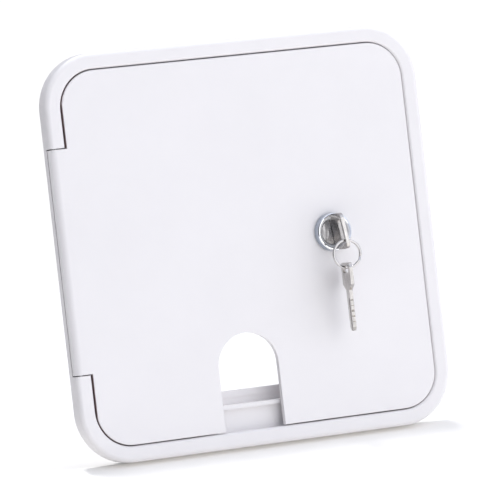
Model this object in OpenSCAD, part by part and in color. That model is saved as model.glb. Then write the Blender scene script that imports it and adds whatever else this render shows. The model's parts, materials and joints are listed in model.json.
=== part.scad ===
// Lockable deck hatch: a flush door in a screwed-on frame, with an open cable outlet.
// +Z is up, -Y is the outside, +X is the lock side.
// The origin is the middle of the mounting plane, on the back of the flange gasket.

/* [Door] */
// Width and height of the door, measured to the middle of the gap around it
door_size = 200; // [190:1:220]
// Width of the gap between door and frame at the top, bottom and lock side
door_gap = 0.6; // [0.5:0.1:1]
// Width of the gap on the hinge side, where the door's edge swings past the rim
hinge_gap = 1; // [0.9:0.1:1.2]
// Thickness of the door plate
door_t = 3.2; // [3:0.1:3.4]
// Corner radius of the door, measured to the middle of the gap
door_corner_r = 20; // [18:1:22]
// Rounding of the door's front edge
door_edge_r = 0.5; // [0.3:0.1:0.7]
// Height of the ribs on the back of the door
door_rib_h = 3; // [2:0.5:3.5]
// Thickness of those ribs
door_rib_t = 1.6; // [1.2:0.2:2]

/* [Cable outlet] */
// Radius of the arch cut into the lower edge of the door
arch_r = 17.6; // [15:0.2:18]
// Middle of the arch, right of the middle of the door
arch_x = -9.7; // [-12:0.1:-8]
// Height of the arch above the lower gap
arch_h = 52; // [46:1:54]

/* [Frame] */
// Width of the rim around the door gap
rim_w = 9; // [8.6:0.2:10]
// Height of the rim's face above the mounting plane
face_h = 11; // [10.8:0.1:11.6]
// Rounding of the rim's front edge next to the door
rim_inner_r = 1.5; // [1:0.1:1.6]
// Rounding of the rim's outer front edge
rim_outer_r = 2.5; // [2:0.1:3]
// Wall thickness of the hollow rim
rim_wall = 2.2; // [2:0.1:2.4]
// Thickness of the screw ledge under the door
ledge_t = 2; // [1.8:0.1:2.4]
// Inset of the sealing rib from the outer edge of the frame
rib_inset = 21; // [20.6:0.1:21.2]
// Thickness of the sealing rib and of the collar behind it
collar_t = 2.1; // [2:0.1:2.4]
// Depth of the rib's crest below the face
rib_crest_depth = 4.8; // [4.8:0.1:5]
// Length of the collar behind the mounting plane
collar_l = 9; // [8.6:0.1:9]
// Thickness of the return lip that the cam hooks behind
lip_t = 3.4; // [3:0.1:3.6]
// Inset of the lip's inner edge from the outer edge of the frame
lip_inset = 30.5; // [30:0.5:31]
// Width and height of the raised bead along the inner half of the lip
lip_bead = [3.5, 0.8];
// Thickness of the foam gasket under the flange
gasket_t = 1.5; // [1.5:0.1:1.7]

/* [Hinge] */
// Radius of the door's hinge barrel
barrel_r = 3.9; // [3.6:0.1:3.9]
// Length of the hinge barrel
barrel_l = 119.5; // [110:0.5:120]
// Gap between each end of the barrel and the rim
barrel_end_gap = 0.6; // [0.5:0.1:0.8]
// Radial gap between the barrel and its trough in the frame
trough_gap = 0.2; // [0.2:0.05:0.3]
// Radius of the two hinge pins
pin_r = 1.5; // [1.4:0.1:1.6]
// Length of each hinge pin inside the rim
pin_in_rim = 12.5; // [10:0.5:14]
// Length of each hinge pin inside the barrel
pin_in_barrel = 13; // [10:0.5:16]

/* [Lock] */
// Lock axis, right of the middle of the door
lock_x = 48; // [44:1:50]
// Turn of the whole lock about its own axis, as fitted
lock_tilt = -7.5; // [-8:0.5:0]
// Radius of the bezel
bezel_r = 10.7; // [10.5:0.1:11]
// Height of the bezel above the door
bezel_h = 4; // [4:0.1:4.4]
// Radius of the threaded lock body
lock_body_r = 9.4; // [9.2:0.1:9.5]
// Half the width across the two flats of the lock body
lock_flat = 8.25; // [8:0.05:8.4]
// Pitch of the lock body's thread
thread_pitch = 1.5; // [1.25:0.25:2]
// Radius of the plug
plug_r = 6.5; // [6.4:0.1:6.5]
// Length of the cam from the lock axis to its tip
cam_l = 37; // [34:0.5:38]
// Width of the cam
cam_w = 16; // [14:1:18]
// Thickness of the cam
cam_t = 2.5; // [2:0.5:2.5]
// Number of wafer tumblers
wafer_count = 5; // [3:1:5]

/* [Keys] */
// Width of the key's bow
bow_w = 19.6; // [18:0.2:19.8]
// Length of the bow's straight sides
bow_l = 11.8; // [11:0.1:12]
// Length of the taper from the bow down to the blade
key_taper = 3; // [3:0.1:3.2]
// Length of the blade
blade_l = 22; // [20:0.5:22]
// Width of the blade
blade_w = 7.5; // [7:0.1:7.6]
// Thickness of the key
key_t = 1.8; // [1.8:0.1:2]
// Length and width of the slot across the bow
bow_slot = [12.8, 3.8];
// Wall between the slot and the end of the bow
bow_end_wall = 1.7; // [1.6:0.1:1.8]
// Middle radius of the split ring
ring_r = 7.4; // [7.1:0.1:7.5]
// Radial width and thickness of the ring's flat wire
ring_wire = [1.3, 0.85];
// Turn of the hanging ring about the vertical
ring_yaw = -9; // [-9:1:0]
// Turn of the spare key that hangs from the ring
spare_yaw = -12; // [-12:1:0]
// Distance of the spare key from the lowest point of the ring
spare_shift = -1; // [-1.2:0.2:1.2]

/* [Fixings] */
// Radius of the screw holes
screw_r = 2.25; // [2:0.05:2.25]
// Radius of the countersinks
sink_r = 3.9; // [3.6:0.1:4]
// Distance of each screw hole from the middle of its side
screw_offset = 72; // [70:1:74]

/* [Hidden] */
$fn = 64;
eps = 0.01;
// How far a cutting shape runs past the surface that it cuts
cut = 1;

door_half = (door_size - door_gap) / 2;
door_r = door_corner_r - door_gap / 2;
opening_half = (door_size + door_gap) / 2;
door_left_x = hinge_gap - opening_half;
frame_half = opening_half - door_gap / 2 + rim_w;
corner_mid = door_size / 2 - door_corner_r;
face_y = -face_h;
flange_y = -gasket_t;
door_back_y = face_y + door_t;
ledge_y = flange_y - ledge_t;
crest_y = face_y + rib_crest_depth;
rib_half = frame_half - rib_inset;
collar_half = rib_half - collar_t;
lip_half = frame_half - lip_inset;
lip_corner_r = 4;
lip_bead_corner_r = 6;
sink_depth = 1.2;
gasket_inset = 0.8;
gasket_rib_gap = 0.4;
screw_line = (rib_half + opening_half) / 2;
seal_w = 5.2;
seal_gap = 0.3;
seal_arch_gap = 1.5;
door_edge_w = 6;
skirt_half = lip_half - 2.5;
skirt_corner_r = 4;
rib_lines_x = [-45, 18];
rib_lines_z = [-30, 38];
arch_mid_z = arch_h - door_size / 2 - arch_r;
arch_rib_gap = 4;

tab_overlap = 3;
axis_x = -(frame_half - barrel_r);
axis_y = face_y + barrel_r;
trough_r = barrel_r + trough_gap;
trough_half_l = barrel_l / 2 + barrel_end_gap;
pin_fit = 0.05;
pin_boss_l = 16;
pin_chamfer = 0.4;

bezel_front_y = face_y - bezel_h;
lock_rear_y = 7.9;
body_fit = 0.1;
thread_depth = 0.8;
plug_front_y = face_y - 1.6;
plug_rear_y = collar_l + 0.2;
plug_fit = 0.05;
plug_flat = plug_r - 1;
plug_chamfer = 0.4;
plug_crown = 0.5;
plug_crown_r = 3;
plug_head_r = plug_r + 0.7;
plug_head_rear_y = face_y + 0.5;
recess_floor_y = face_y - 1.2;
cam_square_half = 3.6;
cam_corner_r = 3;
keyway = [2.3, 7.9];
keyway_rear_y = 9;
cam_y = collar_l + 0.3;
cam_washer_y = cam_y + cam_t;
cam_washer_r = 7;
cam_washer_t = 1;
cam_screw_r = 2;
screw_head_r = 4;
screw_head_h = 2.4;
screw_head_bevel = 1;
screw_slot = [1, 4.8, 1.4];
stop_washer_t = 1;
stop_washer_y = cam_y - 0.15 - stop_washer_t;
stop_ring_r = 7.4;
stop_lug_r = 9.2;
stop_lug_angle = 60;
stop_travel = 90;
stop_slack = 2;
seal_ring_t = 0.5;
lock_pad_r = 17;
lock_pad_h = 0.8;
lock_washer_r = 11.4;
lock_washer_t = 0.9;
lock_washer_spur = 2;
nut_y = door_back_y + lock_pad_h + lock_washer_t;
nut_t = 4;
nut_flat = 12;

wafer_t = 1;
wafer_pitch = 2.9;
wafer_first_y = -6.4;
wafer_half = [2.75, 5.7];
wafer_slack = 0.1;
wafer_window = [2.3, 9.2];
wafer_travel = 0.6;
channel = [2 * wafer_half[0] + 0.6, 2 * plug_r + 1.8];
channel_l = wafer_count * wafer_pitch + 1.5;
ear_x = 4.9;
ear_t = 1.2;
pocket_z = -3.6;
pocket_w = 1.6;
spring_mid_x = 4;
spring_coil_r = 0.5;
spring_wire_r = 0.14;
spring_turns = 4;
spring_steps = 12;
spring_sides = 6;

bow_corner_r = 3.2;
tip_l = 2;
tip_w = 2.8;
key_groove = [0.45, 1.3, 18.4];
key_groove_offset = 1.1;
bow_end = bow_l + key_taper;
slot_mid = bow_end - bow_end_wall - bow_slot[1] / 2;
shoulder_y = face_y - 2.2;
ring_y = shoulder_y - slot_mid;
web_z = -(bow_slot[0] + bow_w) / 4;
ring_drop = ring_r + ring_wire[0] / 2 - (bow_w - bow_slot[0]) / 4 - ring_wire[0] - 0.5;
web_x = lock_x + web_z * sin(lock_tilt);
ring_mid_z = web_z * cos(lock_tilt) - ring_drop;
spare_top_z = ring_mid_z - ring_r + ring_wire[0] / 2 + bow_end_wall + 0.5;

WAFERS = [for (i = [1 : wafer_count]) i];

// ---- Shared shapes ----

// Extrudes a drawing of the X-Z plane from one depth to another.
module slab(front_y, back_y) {
    translate([0, back_y, 0])
        rotate([90, 0, 0])
            linear_extrude(back_y - front_y)
                children();
}

// Turns a profile of (radius, Y) points about the Y axis.
module turned(points) {
    rotate([-90, 0, 0])
        rotate_extrude()
            polygon(points);
}

// A plain round bar along the Y axis.
module bar(r, front_y, back_y) {
    translate([0, front_y, 0])
        rotate([-90, 0, 0])
            cylinder(r = r, h = back_y - front_y);
}

// A square of the given half width with corners of radius r.
module rounded_square(half, r) {
    square([2 * half, 2 * (half - r)], center = true);
    square([2 * (half - r), 2 * half], center = true);
    for (x = [-1, 1], z = [-1, 1])
        translate([x * (half - r), z * (half - r)])
            circle(r);
}

// A square outline whose corners share the frame's corner centres.
module concentric(half) {
    rounded_square(half, half - corner_mid);
}

// The band between two concentric outlines.
module band(outer, inner) {
    difference() {
        concentric(outer);
        concentric(inner);
    }
}

// Sweeps a profile of (distance from the corner centre, Y) round all four sides.
module swept_round() {
    rotate([-90, 0, 0])
        for (turn = [0 : 90 : 270])
            rotate([0, 0, turn]) {
                translate([corner_mid, corner_mid, 0])
                    rotate_extrude(angle = 90)
                        children();
                translate([0, corner_mid, 0])
                    rotate([90, 0, 0])
                        linear_extrude(2 * corner_mid)
                            translate([corner_mid, 0])
                                children();
            }
}

// The outline of the arched cable outlet, grown by a margin and open at the bottom.
module arch(margin = 0) {
    translate([arch_x, arch_mid_z])
        circle(arch_r + margin);
    translate([arch_x - arch_r - margin, -door_size])
        square([2 * (arch_r + margin), door_size + arch_mid_z]);
}

// Places lock parts, which are drawn about the Y axis, on the lock's axis.
module at_lock() {
    translate([lock_x, 0, 0])
        rotate([0, lock_tilt, 0])
            children();
}

// A circle of radius r with two flats, each at the given distance from its middle.
module double_d(r, flat) {
    intersection() {
        circle(r);
        square([2 * flat, 4 * r], center = true);
    }
}

// ---- Frame ----

// Section through the rim, with rounded front edges.
module rim_profile() {
    inner = opening_half - corner_mid;
    outer = frame_half - corner_mid;
    middle = (inner + outer) / 2;
    translate([inner, face_y + rim_inner_r])
        square([middle - inner, flange_y - face_y - rim_inner_r]);
    translate([middle - eps, face_y + rim_outer_r])
        square([outer - middle + eps, flange_y - face_y - rim_outer_r]);
    translate([inner + rim_inner_r, face_y])
        square([outer - inner - rim_inner_r - rim_outer_r, rim_outer_r + eps]);
    translate([inner + rim_inner_r, face_y + rim_inner_r])
        circle(rim_inner_r);
    translate([outer - rim_outer_r, face_y + rim_outer_r])
        circle(rim_outer_r);
}

// The channel in the back of the rim, left solid round the hinge.
module rim_channel() {
    difference() {
        slab(face_y + rim_wall, flange_y + eps)
            band(frame_half - rim_wall, opening_half + rim_wall);
        translate([-frame_half - cut, face_y, -trough_half_l - pin_boss_l])
            cube([2 * rim_w, face_h, 2 * (trough_half_l + pin_boss_l)]);
    }
}

// The space in the left side of the rim where the hinge barrel turns.
module hinge_trough() {
    wall_front_y = axis_y + trough_r / 2;
    overlap = 0.5;
    translate([axis_x, axis_y, -trough_half_l])
        cylinder(r = trough_r, h = 2 * trough_half_l);
    translate([-frame_half - cut, face_y - cut, -trough_half_l])
        cube([
            cut + frame_half - opening_half + overlap,
            axis_y - face_y + cut,
            2 * trough_half_l
        ]);
    translate([axis_x, face_y - cut, -trough_half_l])
        cube([
            overlap - opening_half - axis_x,
            wall_front_y - face_y + cut,
            2 * trough_half_l
        ]);
}

// Countersunk screw holes through the ledge, two on each side.
module screw_holes(front_y, back_y) {
    for (turn = [0 : 90 : 270], offset = [-screw_offset, screw_offset])
        rotate([0, turn, 0])
            translate([screw_line, 0, offset])
                bar(screw_r, front_y, back_y);
}

module countersinks() {
    for (turn = [0 : 90 : 270], offset = [-screw_offset, screw_offset])
        rotate([0, turn, 0])
            translate([screw_line, ledge_y - eps, offset])
                rotate([-90, 0, 0])
                    cylinder(r1 = sink_r, r2 = screw_r, h = sink_depth);
}

module frame() {
    lip_y = collar_l - lip_t;
    color("white")
        difference() {
            union() {
                difference() {
                    swept_round()
                        rim_profile();
                    rim_channel();
                }
                slab(ledge_y, flange_y)
                    band(opening_half + rim_wall / 2, collar_half + collar_t / 2);
                slab(crest_y, collar_l)
                    band(rib_half, collar_half);
                slab(lip_y, collar_l)
                    difference() {
                        concentric(collar_half + collar_t / 2);
                        rounded_square(lip_half, lip_corner_r);
                    }
                slab(lip_y - lip_bead[1], lip_y + eps)
                    difference() {
                        rounded_square(lip_half + lip_bead[0], lip_bead_corner_r);
                        rounded_square(lip_half, lip_corner_r);
                    }
            }
            hinge_trough();
            for (side = [-1, 1])
                translate([axis_x, axis_y, side * (trough_half_l + pin_in_rim / 2)])
                    cylinder(r = pin_r + pin_fit / 2, h = pin_in_rim + cut, center = true);
            screw_holes(ledge_y - cut, flange_y + cut);
            countersinks();
        }
}

module flange_gasket() {
    color("dimgray")
        difference() {
            slab(flange_y, 0)
                band(frame_half - gasket_inset, rib_half + gasket_rib_gap);
            screw_holes(flange_y - cut, cut);
        }
}

// A hinge pin with a chamfer at each end; side is 1 for the upper one and -1 for the lower.
module hinge_pin(side) {
    length = pin_in_rim + pin_in_barrel;
    start = trough_half_l - pin_in_barrel;
    color("silver")
        translate([axis_x, axis_y, side > 0 ? start : -start - length]) {
            cylinder(r1 = pin_r - pin_chamfer, r2 = pin_r, h = pin_chamfer);
            translate([0, 0, pin_chamfer])
                cylinder(r = pin_r, h = length - 2 * pin_chamfer);
            translate([0, 0, length - pin_chamfer])
                cylinder(r1 = pin_r, r2 = pin_r - pin_chamfer, h = pin_chamfer);
        }
}

// ---- Door ----

// Section through the outer edge of the door plate, with a rounded front edge.
module door_edge_profile() {
    outer = door_r;
    inner = outer - door_edge_w;
    translate([inner, face_y + door_edge_r])
        square([outer - inner, door_t - door_edge_r]);
    translate([inner, face_y])
        square([outer - inner - door_edge_r, door_edge_r + eps]);
    translate([outer - door_edge_r, face_y + door_edge_r])
        circle(door_edge_r);
}

// Section through the hinge barrel and the tab that joins it to the door.
module barrel_profile() {
    translate([axis_x, axis_y])
        circle(barrel_r);
    translate([axis_x, face_y])
        square([tab_overlap - door_half - axis_x, door_t]);
}

// The door plate, set back from the rim on the hinge side.
module door_plate() {
    difference() {
        union() {
            swept_round()
                door_edge_profile();
            slab(face_y, door_back_y)
                concentric(door_half - door_edge_w / 2);
        }
        translate([-door_size, face_y - cut, -door_size])
            cube([door_size + door_left_x, door_t + 2 * cut, 2 * door_size]);
    }
}

// The stiffening ribs on the back of the door.
module door_ribs() {
    slab(door_back_y - eps, door_back_y + door_rib_h)
        difference() {
            union() {
                difference() {
                    rounded_square(skirt_half, skirt_corner_r);
                    rounded_square(skirt_half - door_rib_t, skirt_corner_r);
                }
                for (x = rib_lines_x)
                    translate([x, 0])
                        square([door_rib_t, 2 * skirt_half - door_rib_t], center = true);
                for (z = rib_lines_z)
                    translate([0, z])
                        square([2 * skirt_half - door_rib_t, door_rib_t], center = true);
                intersection() {
                    arch(arch_rib_gap + door_rib_t);
                    square(2 * skirt_half, center = true);
                }
            }
            arch(arch_rib_gap);
        }
}

module door() {
    color("white")
        difference() {
            union() {
                door_plate();
                translate([0, 0, -barrel_l / 2])
                    linear_extrude(barrel_l)
                        barrel_profile();
                door_ribs();
                at_lock()
                    bar(lock_pad_r, door_back_y - eps, door_back_y + lock_pad_h);
            }
            slab(face_y - cut, door_back_y + door_rib_h + cut)
                arch();
            at_lock()
                slab(face_y - cut, door_back_y + lock_pad_h + cut)
                    double_d(lock_body_r + body_fit, lock_flat + body_fit);
            for (side = [-1, 1])
                translate([axis_x, axis_y, side * barrel_l / 2])
                    cylinder(r = pin_r + pin_fit, h = 2 * pin_in_barrel, center = true);
        }
}

module door_seal() {
    middle = (rib_half + collar_half) / 2;
    color("lightgray")
        slab(door_back_y, crest_y - seal_gap)
            difference() {
                band(middle + seal_w / 2, middle - seal_w / 2);
                arch(seal_arch_gap);
            }
}

// ---- Lock ----

// Outline points of the lock body's thread, as (radius, Y): one groove for each pitch.
function thread_profile(front_y, back_y) = [
    for (y = [front_y : thread_pitch : back_y - thread_pitch])
        each [
            [lock_body_r, y], [lock_body_r, y + thread_pitch * 0.2],
            [lock_body_r - thread_depth, y + thread_pitch * 0.6], [lock_body_r, y + thread_pitch]
        ]
];

// Outline points of the bevelled bezel and the recess in its front, as (radius, Y).
function bezel_profile() = [
    [0, face_y - 0.5], [bezel_r - 0.4, face_y - 0.5],
    [bezel_r, face_y - 0.8], [bezel_r, face_y - 1.2],
    [bezel_r - 0.45, bezel_front_y + 0.9], [bezel_r - 0.7, bezel_front_y + 0.35],
    [bezel_r - 1.1, bezel_front_y + 0.05], [bezel_r - 1.6, bezel_front_y],
    [bezel_r - 2.4, bezel_front_y + 0.3], [bezel_r - 2.9, bezel_front_y + 1],
    [bezel_r - 3.1, recess_floor_y],
    [0, recess_floor_y]
];

module lock_housing() {
    thread_start_y = door_back_y - 2;
    stop_start = stop_lug_angle / 2 + stop_travel + stop_slack;
    stop_end = 360 - stop_lug_angle / 2 - stop_slack;
    color("silver")
        at_lock()
            difference() {
                union() {
                    turned(bezel_profile());
                    intersection() {
                        union() {
                            turned(concat(
                                [[0, face_y - 0.6], [lock_body_r, face_y - 0.6]],
                                thread_profile(thread_start_y, lock_rear_y - 0.5),
                                [[lock_body_r - thread_depth, lock_rear_y], [0, lock_rear_y]]
                            ));
                            stop_sector(stop_start, stop_end, lock_rear_y - 0.5, cam_y - 0.3,
                                        stop_ring_r + 0.3, stop_lug_r);
                        }
                        translate([-lock_flat, -face_h * 2, -2 * bezel_r])
                            cube([2 * lock_flat, face_h * 4, 4 * bezel_r]);
                    }
                }
                bar(plug_r + plug_fit, face_y - 2, cam_y);
                bar(plug_head_r + plug_fit, face_y - 2, plug_head_rear_y + 0.1);
                for (turn = [0, 90])
                    rotate([0, turn, 0])
                        translate([-channel[0] / 2, wafer_first_y - 2, -channel[1] / 2])
                            cube([channel[0], channel_l, channel[1]]);
            }
}

// A ring sector about the Y axis; angles run clockwise from the top, seen from outside.
module stop_sector(start, end, front_y, back_y, inner_r, outer_r) {
    translate([0, back_y, 0])
        rotate([90, 0, 0])
            rotate([0, 0, 90 - end])
                rotate_extrude(angle = end - start)
                    translate([inner_r, 0])
                        square([outer_r - inner_r, back_y - front_y]);
}

module bezel_seal() {
    color("black")
        at_lock()
            difference() {
                bar(bezel_r - 0.5, face_y - seal_ring_t, face_y);
                bar(lock_body_r + body_fit, face_y - cut, face_y + cut);
            }
}

// A washer with eight spurs round its edge, between the nut and the back of the door.
module lock_washer() {
    front_y = door_back_y + lock_pad_h;
    spur = lock_washer_spur;
    color("silver")
        at_lock()
            difference() {
                union() {
                    bar(lock_washer_r, front_y, nut_y);
                    for (turn = [0 : 45 : 315])
                        rotate([0, turn, 0])
                            translate([lock_washer_r - 0.2, front_y, -spur / 2])
                                cube([spur, lock_washer_t, spur]);
                }
                slab(front_y - cut, nut_y + cut)
                    double_d(lock_body_r + body_fit, lock_flat + body_fit);
            }
}

module lock_nut() {
    color("silver")
        at_lock()
            difference() {
                translate([0, nut_y, 0])
                    rotate([-90, 0, 0])
                        cylinder(r = nut_flat / cos(30), h = nut_t, $fn = 6);
                bar(lock_body_r + body_fit, nut_y - cut, nut_y + nut_t + cut);
            }
}

function wafer_y(i) = wafer_first_y + (i - 1) * wafer_pitch;

module lock_plug() {
    slot_w = 2 * (wafer_half[0] + wafer_slack);
    pocket_top_z = ear_t + wafer_travel + 0.3;
    pocket = [ear_x + wafer_slack - wafer_half[0], pocket_w, pocket_top_z - pocket_z];
    barrel_rear_y = stop_washer_y - 0.2;
    color("silver")
        at_lock()
            difference() {
                union() {
                    turned([
                        [0, plug_front_y - plug_crown],
                        [plug_crown_r, plug_front_y - plug_crown],
                        [plug_head_r - plug_chamfer, plug_front_y],
                        [plug_head_r, plug_front_y + plug_chamfer],
                        [plug_head_r, plug_head_rear_y], [plug_r, plug_head_rear_y],
                        [plug_r, barrel_rear_y], [0, barrel_rear_y]
                    ]);
                    slab(barrel_rear_y - 0.1, plug_rear_y)
                        double_d(plug_r, plug_flat);
                    slab(plug_rear_y - eps, cam_washer_y - 0.1)
                        square(2 * cam_square_half, center = true);
                }
                translate([-keyway[0] / 2, plug_front_y - cut, -keyway[1] / 2])
                    cube([keyway[0], keyway_rear_y - plug_front_y + cut, keyway[1]]);
                for (i = WAFERS) {
                    translate([-slot_w / 2, wafer_y(i) - wafer_slack / 2, -plug_r - cut])
                        cube([slot_w, wafer_t + wafer_slack, 2 * (plug_r + cut)]);
                    translate([wafer_half[0], wafer_y(i) + (wafer_t - pocket[1]) / 2, pocket_z])
                        cube(pocket);
                }
                bar(cam_screw_r + plug_fit, keyway_rear_y + 0.3, cam_washer_y + cut);
            }
}

// A flat tumbler with a window for the blade and an ear that its spring pushes on.
module wafer(i) {
    color("gold")
        at_lock()
            slab(wafer_y(i), wafer_y(i) + wafer_t)
                difference() {
                    union() {
                        square([2 * wafer_half[0], 2 * wafer_half[1]], center = true);
                        square([ear_x, ear_t]);
                    }
                    square(wafer_window, center = true);
                }
}

// Points of one ring of a coil spring's wire, at step k.
function coil_ring(k, height) = let (
    turn = 360 * k / spring_steps,
    pitch = (height - 2 * spring_wire_r) / (spring_turns * spring_steps)
) [
    for (s = [0 : spring_sides - 1])
        let (
            a = 360 * s / spring_sides,
            r = spring_coil_r + spring_wire_r * cos(a)
        )
        [r * cos(turn), r * sin(turn), spring_wire_r + k * pitch + spring_wire_r * sin(a)]
];

// A compression spring standing on the X-Y plane.
module coil_spring(height) {
    steps = spring_turns * spring_steps;
    polyhedron(
        points = [for (k = [0 : steps]) each coil_ring(k, height)],
        faces = concat(
            [[for (s = [0 : spring_sides - 1]) s]],
            [for (k = [0 : steps - 1], s = [0 : spring_sides - 1])
                let (
                    a = k * spring_sides + s,
                    b = k * spring_sides + (s + 1) % spring_sides
                )
                [a, a + spring_sides, b + spring_sides, b]],
            [[for (s = [spring_sides - 1 : -1 : 0]) steps * spring_sides + s]]
        )
    );
}

module wafer_spring(i) {
    color("silver")
        at_lock()
            translate([spring_mid_x, wafer_y(i) + wafer_t / 2, pocket_z + 0.02])
                coil_spring(-pocket_z - 0.04);
}

// The keyed washer whose lug stops the plug after a quarter turn.
module stop_washer() {
    back_y = stop_washer_y + stop_washer_t;
    color("silver")
        at_lock()
            difference() {
                union() {
                    bar(stop_ring_r, stop_washer_y, back_y);
                    stop_sector(-stop_lug_angle / 2, stop_lug_angle / 2, stop_washer_y, back_y,
                                stop_ring_r - 1, stop_lug_r);
                }
                slab(stop_washer_y - cut, back_y + cut)
                    double_d(plug_r + plug_fit, plug_flat + plug_fit);
            }
}

// The cam, which points up while the door is unlocked.
module cam() {
    corner_x = cam_w / 2 - cam_corner_r;
    corner_z = cam_l - cam_corner_r;
    color("silver")
        at_lock()
            slab(cam_y, cam_washer_y)
                difference() {
                    union() {
                        circle(cam_w / 2 + 1);
                        translate([-cam_w / 2, 0])
                            square([cam_w, corner_z]);
                        translate([-corner_x, 0])
                            square([2 * corner_x, cam_l]);
                        for (side = [-1, 1])
                            translate([side * corner_x, corner_z])
                                circle(cam_corner_r);
                    }
                    square(2 * cam_square_half + 0.1, center = true);
                }
}

module cam_washer() {
    back_y = cam_washer_y + cam_washer_t;
    color("silver")
        at_lock()
            difference() {
                bar(cam_washer_r, cam_washer_y, back_y);
                bar(cam_screw_r + 0.2, cam_washer_y - cut, back_y + cut);
            }
}

// The screw that holds the cam on the plug, with a cross recess in its head.
module cam_screw() {
    head_y = cam_washer_y + cam_washer_t;
    head_top_y = head_y + screw_head_h;
    color("silver")
        at_lock()
            difference() {
                union() {
                    bar(cam_screw_r, keyway_rear_y + 0.5, head_y + eps);
                    turned([
                        [0, head_y], [screw_head_r, head_y],
                        [screw_head_r, head_top_y - screw_head_bevel],
                        [screw_head_r - screw_head_bevel, head_top_y], [0, head_top_y]
                    ]);
                }
                for (turn = [0, 90])
                    rotate([0, turn, 0])
                        translate([0, head_top_y, 0])
                            cube([screw_slot[0], 2 * screw_slot[2], screw_slot[1]], center = true);
            }
}

// ---- Keys ----

// Outline of a key: X is across the bow, and Y runs from the blade's shoulder to the bow's end.
module key_outline() {
    corner_x = bow_w / 2 - bow_corner_r;
    first_cut_y = -5.5;
    difference() {
        union() {
            translate([-bow_w / 2, key_taper])
                square([bow_w, bow_l - bow_corner_r]);
            translate([-corner_x, key_taper])
                square([2 * corner_x, bow_l]);
            for (side = [-1, 1])
                translate([side * corner_x, bow_end - bow_corner_r])
                    circle(bow_corner_r);
            polygon([
                [-blade_w / 2, 0], [-blade_w / 2, tip_l - blade_l],
                [-tip_w / 2, -blade_l], [tip_w / 2, -blade_l],
                [blade_w / 2, tip_l - blade_l], [blade_w / 2, 0],
                [bow_w / 2, key_taper], [bow_w / 2, key_taper + 1],
                [-bow_w / 2, key_taper + 1], [-bow_w / 2, key_taper]
            ]);
        }
        translate([-(bow_slot[0] - bow_slot[1]) / 2, slot_mid - bow_slot[1] / 2])
            square([bow_slot[0] - bow_slot[1], bow_slot[1]]);
        for (side = [-1, 1])
            translate([side * (bow_slot[0] - bow_slot[1]) / 2, slot_mid])
                circle(bow_slot[1] / 2);
        for (i = WAFERS, side = [-1, 1])
            translate([side * (blade_w / 2 + 0.5), first_cut_y - (i - 1) * wafer_pitch])
                rotate([0, 0, 45])
                    square(1 + 0.3 * ((i * 2 + side) % 3), center = true);
    }
}

// A flat key with its blade hanging down and its faces square to the X axis.
module flat_key() {
    groove_mid_z = key_groove[2] / 2 - cut - blade_l;
    difference() {
        translate([-key_t / 2, 0, 0])
            rotate([90, 0, 90])
                linear_extrude(key_t)
                    key_outline();
        for (side = [-1, 1])
            translate([side * key_t / 2, side * key_groove_offset, groove_mid_z])
                cube([2 * key_groove[0], key_groove[1], key_groove[2]], center = true);
    }
}

module key() {
    color("silver")
        at_lock()
            translate([0, shoulder_y, 0])
                rotate([90, 0, 0])
                    flat_key();
}

// Places what hangs from the inserted key: plumb under the web at the slot's lower end.
module at_ring(yaw) {
    translate([web_x, ring_y, ring_mid_z])
        rotate([0, 0, yaw])
            children();
}

// A split ring: two turns of flat wire, joined by one slanting step.
module key_ring() {
    wire_w = ring_wire[0];
    wire_t = ring_wire[1];
    offset = wire_t / 2 + 0.03;
    gap_angle = 12;
    step_angle = -25;
    step_l = 2 * ring_r * sin(gap_angle + 2);
    color("silver")
        at_ring(ring_yaw)
            rotate([0, -step_angle, 0]) {
                for (side = [-1, 1])
                    translate([0, side * offset, 0])
                        rotate([90, 0, 0])
                            rotate([0, 0, gap_angle])
                                rotate_extrude(angle = 360 - 2 * gap_angle)
                                    translate([ring_r, 0])
                                        square([wire_w, wire_t], center = true);
                translate([ring_r * cos(gap_angle / 2), 0, 0])
                    rotate([atan(2 * offset / step_l), 0, 0])
                        cube([wire_w, wire_t, step_l], center = true);
            }
}

module spare_key() {
    color("silver")
        at_ring(spare_yaw)
            translate([spare_shift, 0, spare_top_z - ring_mid_z - bow_end])
                flat_key();
}

// ---- Assembly ----

frame();
flange_gasket();
hinge_pin(1);  // upper_hinge_pin
hinge_pin(-1);  // lower_hinge_pin
door();
door_seal();
lock_housing();
bezel_seal();
lock_washer();
lock_nut();
lock_plug();
for (i = WAFERS)
    wafer(i);
for (i = WAFERS)
    wafer_spring(i);
stop_washer();
cam();
cam_washer();
cam_screw();
key();
key_ring();
spare_key();
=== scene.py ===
"""Lockable deck hatch: materials, split ring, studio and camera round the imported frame."""
import json
import math

import bmesh
import bpy
from mathutils import Matrix, Vector

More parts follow.
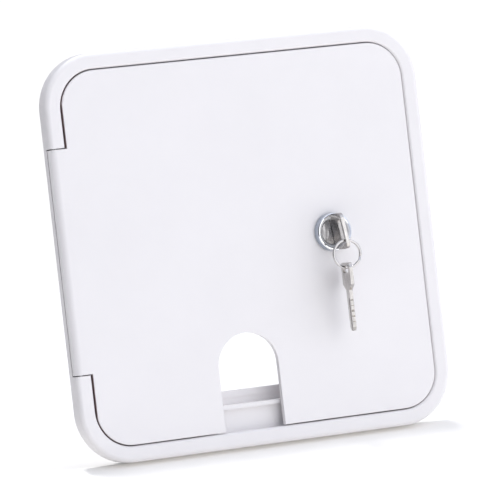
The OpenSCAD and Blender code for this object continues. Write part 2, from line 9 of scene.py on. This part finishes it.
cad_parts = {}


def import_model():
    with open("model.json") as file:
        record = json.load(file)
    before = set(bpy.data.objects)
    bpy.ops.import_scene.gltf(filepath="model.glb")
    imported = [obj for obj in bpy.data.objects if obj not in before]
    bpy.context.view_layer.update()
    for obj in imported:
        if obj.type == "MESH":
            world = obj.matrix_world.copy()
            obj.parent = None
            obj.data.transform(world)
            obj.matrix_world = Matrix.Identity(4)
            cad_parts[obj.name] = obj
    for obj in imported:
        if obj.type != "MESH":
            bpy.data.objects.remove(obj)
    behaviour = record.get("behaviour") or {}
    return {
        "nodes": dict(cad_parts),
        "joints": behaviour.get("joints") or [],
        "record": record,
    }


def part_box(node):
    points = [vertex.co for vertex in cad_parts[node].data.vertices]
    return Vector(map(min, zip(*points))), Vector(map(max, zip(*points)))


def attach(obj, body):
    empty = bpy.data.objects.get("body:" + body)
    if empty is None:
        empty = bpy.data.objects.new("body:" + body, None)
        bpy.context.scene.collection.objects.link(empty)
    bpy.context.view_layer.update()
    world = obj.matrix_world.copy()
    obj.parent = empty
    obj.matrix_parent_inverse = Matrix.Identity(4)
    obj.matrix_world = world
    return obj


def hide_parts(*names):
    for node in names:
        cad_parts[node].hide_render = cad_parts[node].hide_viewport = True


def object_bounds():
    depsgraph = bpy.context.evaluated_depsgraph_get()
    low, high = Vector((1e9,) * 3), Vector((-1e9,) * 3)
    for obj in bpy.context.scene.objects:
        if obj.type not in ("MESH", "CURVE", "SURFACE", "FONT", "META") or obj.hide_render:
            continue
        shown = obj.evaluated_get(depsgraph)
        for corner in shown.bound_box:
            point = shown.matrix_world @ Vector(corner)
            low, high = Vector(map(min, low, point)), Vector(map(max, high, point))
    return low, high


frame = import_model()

NODES = frame["nodes"]
CAD_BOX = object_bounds()

# ---- Places on the hatch ----

FACE_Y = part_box("door")[0].y
DOOR_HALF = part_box("door")[1].x
DOOR_CORNER_R = 0.02
BEZEL_FRONT_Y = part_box("lock_housing")[0].y
KEY_FRONT_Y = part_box("key")[0].y
LOCK_X = next(joint["pos_m"][0] for joint in frame["joints"] if joint["name"] == "lock_turn")

# ---- Material building ----

# Most of a noise pattern lies between these two values
NOISE_LOW = 0.3
NOISE_HIGH = 0.7
NOISE_ROUGHNESS = 0.55


def scaled(colour, share):
    return tuple(share * channel for channel in colour)


class Finish:
    """A procedural material, built on the Principled shader in object coordinates."""

    def __init__(self, name, colour, roughness, metallic=0.0, specular=0.5):
        self.material = bpy.data.materials.new(name)
        self.material.use_nodes = True
        self.tree = self.material.node_tree
        self.shader = self.tree.nodes["Principled BSDF"]
        self.set(self.shader, {
            "Base Color": (*colour, 1.0),
            "Roughness": roughness,
            "Metallic": metallic,
            "Specular IOR Level": specular,
        })
        self.position = self.node("ShaderNodeTexCoord").outputs["Object"]

    def set(self, node, values):
        for socket, value in values.items():
            node.inputs[socket].default_value = value

    def node(self, kind, values=None, **settings):
        made = self.tree.nodes.new(kind)
        for setting, value in settings.items():
            setattr(made, setting, value)
        self.set(made, values or {})
        return made

    def join(self, source, node, socket):
        self.tree.links.new(source, node.inputs[socket])

    def coordinates(self, stretch=(1.0, 1.0, 1.0), shift=0.0):
        """Object coordinates in metres, scaled by stretch along each axis."""
        mapping = self.node("ShaderNodeMapping", {
            "Scale": stretch,
            "Location": (shift, shift, shift),
        })
        self.join(self.position, mapping, "Vector")
        return mapping.outputs["Vector"]

    def noise(self, size, detail=3.0, **place):
        """Noise between 0 and 1 whose features are about size metres across."""
        made = self.node("ShaderNodeTexNoise", {
            "Scale": 1.0 / size,
            "Detail": detail,
            "Roughness": NOISE_ROUGHNESS,
        })
        self.join(self.coordinates(**place), made, "Vector")
        return made.outputs["Fac"]

    def cells(self, size):
        """Distance to the nearest of random cell centres about size metres apart."""
        made = self.node("ShaderNodeTexVoronoi", {"Scale": 1.0 / size}, feature="F1")
        self.join(self.coordinates(), made, "Vector")
        return made.outputs["Distance"]

    def along(self, axis):
        """The object coordinate along one axis, in metres."""
        made = self.node("ShaderNodeSeparateXYZ")
        self.join(self.position, made, 0)
        return made.outputs[axis]

    def magnitude(self, axis, middle=0.0):
        """The distance from a middle value along one axis."""
        moved = self.node("ShaderNodeMath", {1: middle}, operation="SUBTRACT")
        self.join(self.along(axis), moved, 0)
        made = self.node("ShaderNodeMath", operation="ABSOLUTE")
        self.join(moved.outputs[0], made, 0)
        return made.outputs[0]

    def from_rounded_square(self, half, radius, middle_x=0.0):
        """Distance in metres outside the edge of a rounded square in the X-Z plane.

        With half and radius at 0 this is the distance from a line along Y.
        """
        outside = self.node("ShaderNodeCombineXYZ")
        for socket, axis, middle in ((0, "X", middle_x), (1, "Z", 0.0)):
            past = self.node("ShaderNodeMath", {1: half - radius}, operation="SUBTRACT")
            self.join(self.magnitude(axis, middle), past, 0)
            beyond = self.node("ShaderNodeMath", {1: 0.0}, operation="MAXIMUM")
            self.join(past.outputs[0], beyond, 0)
            self.join(beyond.outputs[0], outside, socket)
        length = self.node("ShaderNodeVectorMath", operation="LENGTH")
        self.join(outside.outputs[0], length, 0)
        edge = self.node("ShaderNodeMath", {1: radius}, operation="SUBTRACT")
        self.join(length.outputs["Value"], edge, 0)
        return edge.outputs[0]

    def spread(self, source, low, high, start=NOISE_LOW, end=NOISE_HIGH):
        """Maps a pattern's start to end onto low to high."""
        made = self.node("ShaderNodeMapRange", {
            "From Min": start, "From Max": end, "To Min": low, "To Max": high,
        })
        self.join(source, made, "Value")
        return made.outputs["Result"]

    def product(self, first, second):
        made = self.node("ShaderNodeMath", operation="MULTIPLY")
        self.join(first, made, 0)
        self.join(second, made, 1)
        return made.outputs[0]

    def blend(self, factor, first, second):
        """A colour between first and second; either may be a colour or a socket."""
        made = self.node("ShaderNodeMix", data_type="RGBA")
        self.join(factor, made, 0)
        for socket, colour in ((6, first), (7, second)):
            if isinstance(colour, bpy.types.NodeSocket):
                self.join(colour, made, socket)
            else:
                made.inputs[socket].default_value = (*colour, 1.0)
        return made.outputs[2]

    def colour(self, source):
        self.join(source, self.shader, "Base Color")

    def roughness(self, source):
        self.join(source, self.shader, "Roughness")

    def metallic(self, source):
        self.join(source, self.shader, "Metallic")

    def relief(self, *layers):
        """Bump from (pattern, height in metres) layers, each on top of the last."""
        normal = None
        for pattern, height in layers:
            made = self.node("ShaderNodeBump", {"Distance": height, "Strength": 1.0})
            self.join(pattern, made, "Height")
            if normal is not None:
                self.join(normal, made, "Normal")
            normal = made.outputs["Normal"]
        self.join(normal, self.shader, "Normal")


# ---- Plastic ----

WHITE = (0.835, 0.808, 0.81)
# Painted shade: the colour the plastic darkens to deep in the hinge side's gap
GAP_PAINTED_SHADE = (0.4, 0.28, 0.28)
# Between these distances outside the door's edge the painted shade begins, and then ends
GAP_INNER_EDGE = (-0.0007, -0.0005)
GAP_OUTER_EDGE = (0.0018, 0.0022)
# It fades away from the hinge side, and begins past the ends of the door's tab
GAP_FADE_X = (-0.096, -0.074)
GAP_START_Z = (0.0601, 0.0605)
GAP_DEPTH_Y = (FACE_Y + 0.0006, FACE_Y + 0.0012)


def painted_gap_shade(finish):
    """Painted shade mask: 1 deep in the hinge side's gap, above and below the door's tab, and 0
    elsewhere.
    """
    outward = finish.from_rounded_square(DOOR_HALF, DOOR_CORNER_R)
    across = finish.product(
        finish.spread(outward, 0.0, 1.0, *GAP_INNER_EDGE),
        finish.spread(outward, 1.0, 0.0, *GAP_OUTER_EDGE),
    )
    along = finish.product(
        finish.spread(finish.along("X"), 1.0, 0.0, *GAP_FADE_X),
        finish.spread(finish.magnitude("Z"), 0.0, 1.0, *GAP_START_Z),
    )
    deep = finish.spread(finish.along("Y"), 0.0, 1.0, *GAP_DEPTH_Y)
    return finish.product(finish.product(across, along), deep)


def moulded_plastic(name, colour, seed):
    """Satin plastic: fine mould grain, slow waviness, faint random changes of tone, scuffs, and
    painted shade deep in the hinge side's gap.
    """
    finish = Finish(name, colour, roughness=0.4, specular=0.45)
    clouds = finish.noise(size=0.045, shift=seed)
    scuffs = finish.noise(size=0.004, detail=6.0, shift=seed, stretch=(1.0, 1.0, 5.0))
    clear = finish.spread(clouds, low=0.0, high=1.0)
    shade = finish.blend(clear, scaled(colour, 0.972), colour)
    scuffed = finish.spread(scuffs, low=0.0, high=0.35, start=0.62, end=0.85)
    shade = finish.blend(scuffed, shade, scaled(colour, 0.95))
    # Painted shade darkens the plastic deep in the hinge side's gap
    finish.colour(finish.blend(painted_gap_shade(finish), shade, GAP_PAINTED_SHADE))
    finish.roughness(finish.spread(clouds, low=0.34, high=0.46))
    waves = finish.noise(size=0.03, detail=1.0, shift=seed)
    grain = finish.noise(size=0.0005, detail=2.0, shift=seed)
    finish.relief((waves, 0.00012), (grain, 0.000012))
    return finish.material


# ---- Metal ----

# The bezel's flank and the edge of its mouth, as distances from the lock's axis
BEZEL_FLANK_R = (0.0091, 0.0095)
BEZEL_MOUTH_R = (0.0083, 0.0088)
# Painted reflection: its flank darkens behind its front face, and towards the hinge side
BEZEL_REFLECTION_Y = (BEZEL_FRONT_Y + 0.00005, BEZEL_FRONT_Y + 0.0007)
BEZEL_REFLECTION_X = (LOCK_X - 0.007, LOCK_X + 0.002)


def bezel_painted_reflection(finish, shade, flank_reflection_colour):
    """Paints a dark reflection onto the bezel's flank, darkest on the hinge side, and makes its
    mouth satin.
    """
    depth = finish.spread(finish.along("Y"), 0.0, 1.0, *BEZEL_REFLECTION_Y)
    side = finish.spread(finish.along("X"), 1.0, 0.1, *BEZEL_REFLECTION_X)
    from_axis = finish.from_rounded_square(half=0.0, radius=0.0, middle_x=LOCK_X)
    flank = finish.spread(from_axis, 0.0, 1.0, *BEZEL_FLANK_R)
    finish.metallic(finish.spread(from_axis, 0.1, 1.0, *BEZEL_MOUTH_R))
    return finish.blend(finish.product(finish.product(depth, side), flank), shade, flank_reflection_colour)


def polished_metal(name, colour, roughness, seed=0.0, flank_reflection_colour=None):
    """Plated metal with faint smudges and hair-fine scratches; on the bezel, a painted dark
    reflection on its flank.
    """
    finish = Finish(name, colour, roughness, metallic=1.0)
    smudges = finish.noise(size=0.006, detail=4.0, shift=seed)
    scratches = finish.noise(size=0.0007, detail=5.0, shift=seed, stretch=(0.08, 1.0, 1.0))
    smudged = finish.spread(smudges, low=0.0, high=0.6)
    shade = finish.blend(smudged, colour, scaled(colour, 0.82))
    # The bezel's flank gets a painted dark reflection
    if flank_reflection_colour is not None:
        shade = bezel_painted_reflection(finish, shade, flank_reflection_colour)
    finish.colour(shade)
    finish.roughness(finish.spread(smudges, low=roughness, high=roughness + 0.06))
    finish.relief((smudges, 0.00004), (scratches, 0.000006))
    return finish.material


def brushed_metal(
    name, colour, roughness, stretch, seed=0.0, contrast=0.4, grain_size=0.00035, painted_shade=None,
):
    """Metal with a straight brushed grain; stretch is below 1 along the grain.

    The optional painted shade is (front Y, back Y, colour): painted shade and reflection darken the
    metal to that colour from the first to the second.
    """
    finish = Finish(name, colour, roughness, metallic=1.0)
    grain = finish.noise(size=grain_size, detail=4.0, shift=seed, stretch=stretch)
    stains = finish.noise(size=0.004, shift=seed)
    dark = scaled(colour, 1.0 - contrast)
    shade = finish.blend(finish.spread(grain, low=0.0, high=0.8), colour, dark)
    shade = finish.blend(finish.spread(stains, low=0.0, high=0.4), shade, dark)
    # Painted shade and reflection darken the metal behind its front end
    if painted_shade is not None:
        front, back, painted_dark = painted_shade
        depth = finish.spread(finish.along("Y"), low=0.0, high=0.85, start=front, end=back)
        shade = finish.blend(depth, shade, painted_dark)
    finish.colour(shade)
    finish.roughness(finish.spread(grain, low=roughness - 0.08, high=roughness + 0.12))
    finish.relief((grain, 0.00002))
    return finish.material


def zinc_plate(name, colour):
    """Zinc-plated steel with a soft crystalline mottle and warm stains."""
    finish = Finish(name, colour, roughness=0.35, metallic=1.0)
    spangle = finish.cells(size=0.0016)
    stains = finish.noise(size=0.003, detail=5.0)
    warm = (0.62 * colour[0], 0.58 * colour[1], 0.5 * colour[2])
    mottle = finish.spread(spangle, low=0.0, high=1.0, start=0.1, end=0.8)
    shade = finish.blend(mottle, colour, scaled(colour, 0.72))
    stained = finish.spread(stains, low=0.0, high=0.5, start=0.5, end=0.8)
    finish.colour(finish.blend(stained, shade, warm))
    finish.roughness(finish.spread(spangle, low=0.28, high=0.46, start=0.1, end=0.8))
    finish.relief((spangle, 0.00004), (stains, 0.00003))
    return finish.material


# ---- Rubber and foam ----


def soft_rubber(name, colour):
    """Matt rubber with a dusty bloom."""
    finish = Finish(name, colour, roughness=0.62, specular=0.35)
    dust = finish.noise(size=0.008, detail=6.0)
    grain = finish.noise(size=0.0006)
    dusty = tuple(0.06 + channel for channel in scaled(colour, 1.5))
    dusted = finish.spread(dust, low=0.0, high=0.5, start=0.45, end=0.75)
    finish.colour(finish.blend(dusted, colour, dusty))
    finish.roughness(finish.spread(dust, low=0.55, high=0.75))
    finish.relief((dust, 0.00005), (grain, 0.00003))
    return finish.material


def closed_foam(name, colour):
    """Closed-cell foam: small pits with paler walls between them."""
    finish = Finish(name, colour, roughness=0.9, specular=0.2)
    pits = finish.cells(size=0.0009)
    clouds = finish.noise(size=0.012)
    pale = scaled(colour, 2.2)
    walls = finish.spread(pits, low=0.0, high=1.0, start=0.2, end=0.7)
    shade = finish.blend(walls, colour, pale)
    finish.colour(finish.blend(finish.spread(clouds, low=0.0, high=0.4), shade, pale))
    finish.relief((pits, 0.00025))
    return finish.material


# ---- Finish of each material slot ----

FINISHES = {
    "white_abs_frame": moulded_plastic("frame_plastic", WHITE, seed=0.0),
    "white_abs_door": moulded_plastic("door_plastic", WHITE, seed=3.7),
    "foam_gasket": closed_foam("gasket_foam", (0.035, 0.036, 0.04)),
    "rubber_seal": soft_rubber("seal_rubber", (0.09, 0.09, 0.095)),
    "stainless_pin": brushed_metal(
        "pin_stainless", (0.62, 0.61, 0.6), roughness=0.3, stretch=(1.0, 1.0, 0.06),
    ),
    # The flank colour is a painted dark reflection on the bezel's hinge side
    "chrome_bezel": polished_metal(
        "bezel_chrome", (0.96, 0.965, 0.98), roughness=0.06, flank_reflection_colour=(0.42, 0.46, 0.52),
    ),
    "nickel_plug": brushed_metal(
        "plug_nickel", (0.88, 0.85, 0.84), roughness=0.24, stretch=(1.0, 1.0, 0.08),
        seed=1.3, contrast=0.88, grain_size=0.0009,
    ),
    "zinc_steel": zinc_plate("zinc_steel", (0.66, 0.67, 0.69)),
    "brass_wafer": brushed_metal(
        "wafer_brass", (0.78, 0.56, 0.26), roughness=0.32, stretch=(0.08, 1.0, 1.0), seed=2.1,
    ),
    "spring_steel": polished_metal("spring_steel", (0.5, 0.5, 0.52), roughness=0.2, seed=4.0),
    "nickel_key": brushed_metal(
        "key_nickel", (0.76, 0.725, 0.69), roughness=0.2, stretch=(1.0, 1.0, 0.07),
        seed=5.5, contrast=0.5,
    ),
    "steel_ring": polished_metal("ring_steel", (0.62, 0.6, 0.59), roughness=0.12, seed=6.2),
}


def give(node, material):
    for material_slot in NODES[node].material_slots:
        material_slot.material = material


for part in frame["record"]["subparts"]:
    give(part["node"], FINISHES[part["material_slot"]])

# The key in the lock gets a paler colour than the spare, a painted highlight on the end of its bow;
# painted shade and reflection darken its flats behind that end
give("key", brushed_metal(
    "key_nickel_painted_light", (0.86, 0.82, 0.78), roughness=0.2, stretch=(1.0, 1.0, 0.07),
    seed=7.7, contrast=0.5,
    painted_shade=(KEY_FRONT_Y + 0.0004, KEY_FRONT_Y + 0.0009, (0.4, 0.38, 0.37)),
))

# ---- Split ring ----

# Outwards and sideways size of the wire
RING_WIRE_W = 0.0013
RING_WIRE_T = 0.00085
# Below 1 the wire's section is squarer than an oval
RING_SQUARENESS = 0.6
RING_SIDES = 12
RING_STEPS = 192
# How far the ring is turned about the vertical
RING_YAW = math.radians(-9)
# Distance of each turn's middle from the ring's middle plane
RING_OFFSET = 0.000455
# Where the wire starts, and the arc that is missing between its two ends
RING_START = math.radians(-13)
RING_OPENING = math.radians(24)
RING_TRAVEL = 2 * math.tau - RING_OPENING
# Each end thins over this arc to this share of its size
RING_TIP = math.radians(6)
RING_TIP_SHARE = 0.7


def squarish(value):
    return math.copysign(abs(value) ** RING_SQUARENESS, value)


def wire_section():
    """Points round the wire's section, outwards and sideways from its middle."""
    angles = [math.tau * (i + 0.5) / RING_SIDES for i in range(RING_SIDES)]
    return [
        (RING_WIRE_W / 2 * squarish(math.cos(angle)), RING_WIRE_T / 2 * squarish(math.sin(angle)))
        for angle in angles
    ]


def wire_loop(travel, radius, section):
    """Points round the wire, travel radians along it, measured from the ring's centre."""
    angle = RING_START + travel
    cross = min(1.0, max(0.0, (travel - math.tau + RING_OPENING) / RING_OPENING))
    eased = cross * cross * (3.0 - 2.0 * cross)
    side = (2.0 * eased - 1.0) * RING_OFFSET
    from_end = min(travel, RING_TRAVEL - travel) / RING_TIP
    size = min(1.0, RING_TIP_SHARE + (1.0 - RING_TIP_SHARE) * from_end)
    points = []
    for outwards, sideways in section:
        reach = radius + outwards * size
        y = side + sideways * size
        points.append(Vector((reach * math.cos(angle), y, reach * math.sin(angle))))
    return points


def add_object(name, data):
    obj = bpy.data.objects.new(name, data)
    bpy.context.scene.collection.objects.link(obj)
    return obj


def split_ring():
    """Two turns of round-edged flat wire that lie side by side and cross over in one short step."""
    low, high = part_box("key_ring")
    middle = (low + high) / 2
    radius = (high.z - low.z) / 2 - RING_WIRE_W / 2
    turn = Matrix.Rotation(RING_YAW, 4, "Z")
    section = wire_section()
    mesh = bmesh.new()
    loops = []
    for step in range(RING_STEPS + 1):
        points = wire_loop(RING_TRAVEL * step / RING_STEPS, radius, section)
        loops.append([mesh.verts.new(middle + turn @ point) for point in points])
    for first, second in zip(loops, loops[1:]):
        for i in range(RING_SIDES):
            j = (i + 1) % RING_SIDES
            mesh.faces.new((first[i], first[j], second[j], second[i]))
    mesh.faces.new(list(reversed(loops[0])))
    mesh.faces.new(loops[-1])
    bmesh.ops.recalc_face_normals(mesh, faces=mesh.faces)
    data = bpy.data.meshes.new("split_ring")
    mesh.to_mesh(data)
    mesh.free()
    for face in data.polygons:
        face.use_smooth = len(face.vertices) == 4
    data.materials.append(FINISHES["steel_ring"])
    obj = add_object("split_ring", data)
    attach(obj, "ring_body")
    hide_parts("key_ring")


split_ring()

# ---- Studio ----

SKY_TINT = (0.91, 0.97, 1.125)
LAMP_TINT = (1.0, 0.98, 0.91)
FLOOR_TINT = (0.84, 0.82, 0.79)
FLOOR_GLOW = (1.02, 1.0, 0.96)
FLOOR_GLOW_STRENGTH = 0.15
FLOOR_Z = CAD_BOX[0].z
FLOOR_SLOPE = math.radians(15.8)
FLOOR_REACH = 9.0
BACKDROP_STRENGTH = 1.05
# Cosines of the angle to a direction, between which the sky changes
SKY_BRIGHTENS = (-0.2, 0.8)
SKY_DARKENS = (0.3, 0.9)
SKY_FADES_BEHIND = (0.0, 0.7)


def floor():
    """A pale floor: level behind the hatch, and falling away from it in front, as it leans back."""
    drop = FLOOR_REACH * math.tan(FLOOR_SLOPE)
    profile = [(-FLOOR_REACH, FLOOR_Z - drop), (0.0, FLOOR_Z), (FLOOR_REACH, FLOOR_Z)]
    mesh = bpy.data.meshes.new("studio_floor")
    verts = [(x, y, z) for y, z in profile for x in (-FLOOR_REACH, FLOOR_REACH)]
    mesh.from_pydata(verts, [], [(0, 1, 3, 2), (2, 3, 5, 4)])
    finish = Finish("floor_paper", FLOOR_TINT, roughness=1.0, specular=0.0)
    finish.set(finish.shader, {
        "Emission Color": (*FLOOR_GLOW, 1.0),
        "Emission Strength": FLOOR_GLOW_STRENGTH,
    })
    darker = (0.82, 0.8, 0.77)
    finish.colour(finish.blend(finish.noise(size=0.2), darker, FLOOR_TINT))
    mesh.materials.append(finish.material)
    add_object("studio_floor", mesh)


def world(low, high, bright_way, dark_share, dark_way, behind_share):
    """Soft light that grows from low to high towards bright_way.

    It fades to dark_share of that towards dark_way, and to behind_share behind the hatch. The
    camera sees a plain white backdrop in its place.
    """
    made = bpy.data.worlds.new("studio_world")
    made.use_nodes = True
    bpy.context.scene.world = made
    nodes = made.node_tree.nodes
    links = made.node_tree.links
    nodes.clear()
    direction = nodes.new("ShaderNodeTexCoord").outputs["Generated"]

    def towards(way, cosines, from_value, to_value):
        dot = nodes.new("ShaderNodeVectorMath")
        dot.operation = "DOT_PRODUCT"
        dot.inputs[1].default_value = Vector(way).normalized()
        links.new(direction, dot.inputs[0])
        ramp = nodes.new("ShaderNodeMapRange")
        ramp.interpolation_type = "SMOOTHSTEP"
        ramp.inputs["From Min"].default_value = cosines[0]
        ramp.inputs["From Max"].default_value = cosines[1]
        ramp.inputs["To Min"].default_value = from_value
        ramp.inputs["To Max"].default_value = to_value
        links.new(dot.outputs["Value"], ramp.inputs["Value"])
        return ramp.outputs["Result"]

    strength = towards(bright_way, SKY_BRIGHTENS, low, high)
    for fade in (
        towards(dark_way, SKY_DARKENS, 1.0, dark_share),
        towards((0.0, 1.0, 0.0), SKY_FADES_BEHIND, 1.0, behind_share),
    ):
        faded = nodes.new("ShaderNodeMath")
        faded.operation = "MULTIPLY"
        links.new(strength, faded.inputs[0])
        links.new(fade, faded.inputs[1])
        strength = faded.outputs[0]
    light = nodes.new("ShaderNodeBackground")
    light.inputs["Color"].default_value = (*SKY_TINT, 1.0)
    links.new(strength, light.inputs["Strength"])
    seen = nodes.new("ShaderNodeBackground")
    seen.inputs["Color"].default_value = (1.0, 1.0, 1.0, 1.0)
    seen.inputs["Strength"].default_value = BACKDROP_STRENGTH
    choose = nodes.new("ShaderNodeMixShader")
    links.new(nodes.new("ShaderNodeLightPath").outputs["Is Camera Ray"], choose.inputs[0])
    links.new(light.outputs[0], choose.inputs[1])
    links.new(seen.outputs[0], choose.inputs[2])
    output = nodes.new("ShaderNodeOutputWorld")
    links.new(choose.outputs[0], output.inputs["Surface"])


def softbox(name, place, size, power, mirrored):
    """A square area light that faces the hatch; the metal mirrors it or doesn't."""
    data = bpy.data.lights.new(name, "AREA")
    data.shape = "SQUARE"
    data.size = size
    data.energy = power
    data.color = LAMP_TINT
    obj = add_object(name, data)
    obj.location = place
    obj.rotation_euler = (-Vector(place)).to_track_quat("-Z", "Y").to_euler()
    obj.visible_glossy = mirrored


def sun(name, way, strength, spread):
    """An even light that shines along way, from a patch of sky of the given angle."""
    data = bpy.data.lights.new(name, "SUN")
    data.energy = strength
    data.angle = spread
    obj = add_object(name, data)
    obj.rotation_euler = Vector(way).to_track_quat("-Z", "Y").to_euler()


def camera():
    """The camera at the photograph's angle, rolled so that the hatch seems to lean."""
    azimuth = math.radians(-23.85)
    elevation = math.radians(0.46)
    roll = math.radians(6.53)
    distance = 2.504
    below_middle = 0.00465
    left_of_middle = 0.00075
    face_middle = Vector((0.0, FACE_Y, 0.0))
    back = Vector((
        math.sin(azimuth) * math.cos(elevation),
        -math.cos(azimuth) * math.cos(elevation),
        math.sin(elevation),
    ))
    level = Vector((math.cos(azimuth), math.sin(azimuth), 0.0))
    upright = back.cross(level)
    right = level * math.cos(roll) - upright * math.sin(roll)
    up = upright * math.cos(roll) + level * math.sin(roll)
    target = face_middle - up * below_middle - right * left_of_middle
    data = bpy.data.cameras.new("photo_camera")
    data.lens = 336.7
    data.sensor_width = 36.0
    data.clip_start = 0.05
    data.clip_end = 60.0
    obj = add_object("photo_camera", data)
    axes = Matrix((right, up, back)).transposed().to_4x4()
    obj.matrix_world = Matrix.Translation(target + back * distance) @ axes
    bpy.context.scene.camera = obj


floor()
world(
    low=0.67, high=1.03, bright_way=(0.6, 0.1, 0.75),
    dark_share=0.16, dark_way=(-1.0, -0.2, 0.0), behind_share=0.25,
)
softbox("key_light", place=(0.5, -0.8, 0.5), size=1.2, power=2.2, mirrored=False)
softbox("front_card", place=(0.45, -2.15, 0.1), size=1.6, power=6.4, mirrored=True)
sun("top_light", way=(0.04, -0.07, -1.0), strength=1.75, spread=math.radians(8))
camera()
bpy.context.scene.view_settings.view_transform = "Standard"
